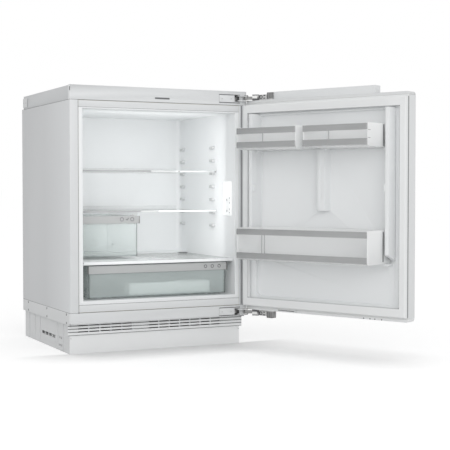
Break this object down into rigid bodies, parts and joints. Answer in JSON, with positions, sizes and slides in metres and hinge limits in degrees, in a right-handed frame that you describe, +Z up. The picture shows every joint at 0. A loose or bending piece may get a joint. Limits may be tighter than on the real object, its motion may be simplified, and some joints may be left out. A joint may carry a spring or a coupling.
{
  "type": "undercounter fridge",
  "caption": "Built-in undercounter refrigerator with a right-hung open door, door racks, glass shelves, clear drawers and a louvred plinth.",
  "frame": {"origin": "middle of the base tray's underside, on the floor, half way between the body's front plane and its back", "axes": "+X to the right seen from the front, +Y from the front to the back, +Z up"},
  "size_m": [0.8836, 1.0651, 0.82],
  "materials": {
    "steel_white": "satin white enamel",
    "steel_grey": "zinc grey",
    "plastic_white": "smooth white",
    "plastic_matte": "fine satin white",
    "foam": "rigid foam",
    "glass": "clear toughened glass",
    "trim_silver": "satin anodised",
    "bar_silver": "brushed",
    "clear_plastic": "clear tinted plastic",
    "rail_grey": "satin grey",
    "seal": "soft white vinyl",
    "hinge_steel": "nickel",
    "dark": "matt",
    "light_white": "opal",
    "black_paint": "black enamel",
    "rubber_black": "rubber",
    "copper": "copper tube"
  },
  "bodies": {
    "cabinet": {"base_strips": "plastic_matte", "base_tray": "plastic_matte", "casing": "steel_white", "compressor": "black_paint", "compressor_mounts": "rubber_black", "condenser_bars": "steel_grey", "condenser_coil": "copper", "control_buttons": "plastic_matte", "control_housing": "light_white", "drain_pipe": "plastic_matte", "drawer_runners": "plastic_matte", "fascia_mark": "dark", "feet": "rubber_black", "frame_rails": "steel_white", "hinge_lower_housing": "hinge_steel", "hinge_pins": "hinge_steel", "hinge_upper_housing": "hinge_steel", "insulation": "foam", "light_cover": "light_white", "liner": "plastic_white", "lower_fascia": "steel_white", "mains_inlet": "dark", "plinth_panel": "plastic_matte", "rear_panel": "steel_grey", "refrigerant_pipes": "copper", "shelf_ribs": "plastic_white", "terminal_box": "dark", "top_cover": "steel_white", "top_end_brackets": "plastic_matte", "top_fascia": "steel_white", "vent_grille": "plastic_matte", "water_tray": "plastic_matte"},
    "door": {"door_shell": "steel_white", "door_cap_top": "plastic_matte", "door_cap_bottom": "plastic_matte", "door_foam": "foam", "door_liner": "plastic_white", "door_seal": "seal", "mounting_rail": "steel_white", "hinge_links": "hinge_steel", "hinge_brackets": "hinge_steel", "bracket_screws": "dark"},
    "large_drawer": {"drawer_box": "clear_plastic", "drawer_rail": "rail_grey"},
    "half_drawer": {"half_drawer_box": "clear_plastic", "half_drawer_rail": "rail_grey"},
    "lower_shelf": {"shelf_lower_glass": "glass", "shelf_lower_trims": "trim_silver", "half_drawer_hangers": "plastic_matte"},
    "upper_shelf": {"shelf_upper_glass": "glass", "shelf_upper_trims": "trim_silver"},
    "cover_plate": {"cover_plate_glass": "glass", "cover_plate_trim": "trim_silver", "cover_plate_caps": "dark"},
    "rack_upper_left": {"rack_upper_left_tray": "clear_plastic", "rack_upper_left_bars": "bar_silver"},
    "rack_upper_right": {"rack_upper_right_tray": "clear_plastic", "rack_upper_right_bars": "bar_silver"},
    "rack_lower": {"rack_lower_tray": "clear_plastic", "rack_lower_bars": "bar_silver"}
  },
  "joints": [
    {"name": "door_hinge", "type": "hinge", "parent": "cabinet", "child": "door", "pos_m": [0.29216, -0.26899, 0.4526], "axis": [0, 0, 1], "range_deg": [-115, 0]},
    {"name": "large_drawer_slide", "type": "slide", "parent": "cabinet", "child": "large_drawer", "axis": [0, -1, 0], "range_m": [0, 0.3]},
    {"name": "cover_plate_slide", "type": "slide", "parent": "cabinet", "child": "cover_plate", "axis": [0, -1, 0], "range_m": [0, 0.2]},
    {"name": "lower_shelf_slide", "type": "slide", "parent": "cabinet", "child": "lower_shelf", "axis": [0, -1, 0], "range_m": [0, 0.2]},
    {"name": "upper_shelf_slide", "type": "slide", "parent": "cabinet", "child": "upper_shelf", "axis": [0, -1, 0], "range_m": [0, 0.2]},
    {"name": "half_drawer_slide", "type": "slide", "parent": "lower_shelf", "child": "half_drawer", "axis": [0, -1, 0], "range_m": [0, 0.2]},
    {"name": "rack_upper_left_lift", "type": "slide", "parent": "door", "child": "rack_upper_left", "axis": [0, 0, 1], "range_m": [0, 0.02]},
    {"name": "rack_upper_right_lift", "type": "slide", "parent": "door", "child": "rack_upper_right", "axis": [0, 0, 1], "range_m": [0, 0.02]},
    {"name": "rack_lower_lift", "type": "slide", "parent": "door", "child": "rack_lower", "axis": [0, 0, 1], "range_m": [0, 0.02]}
  ]
}
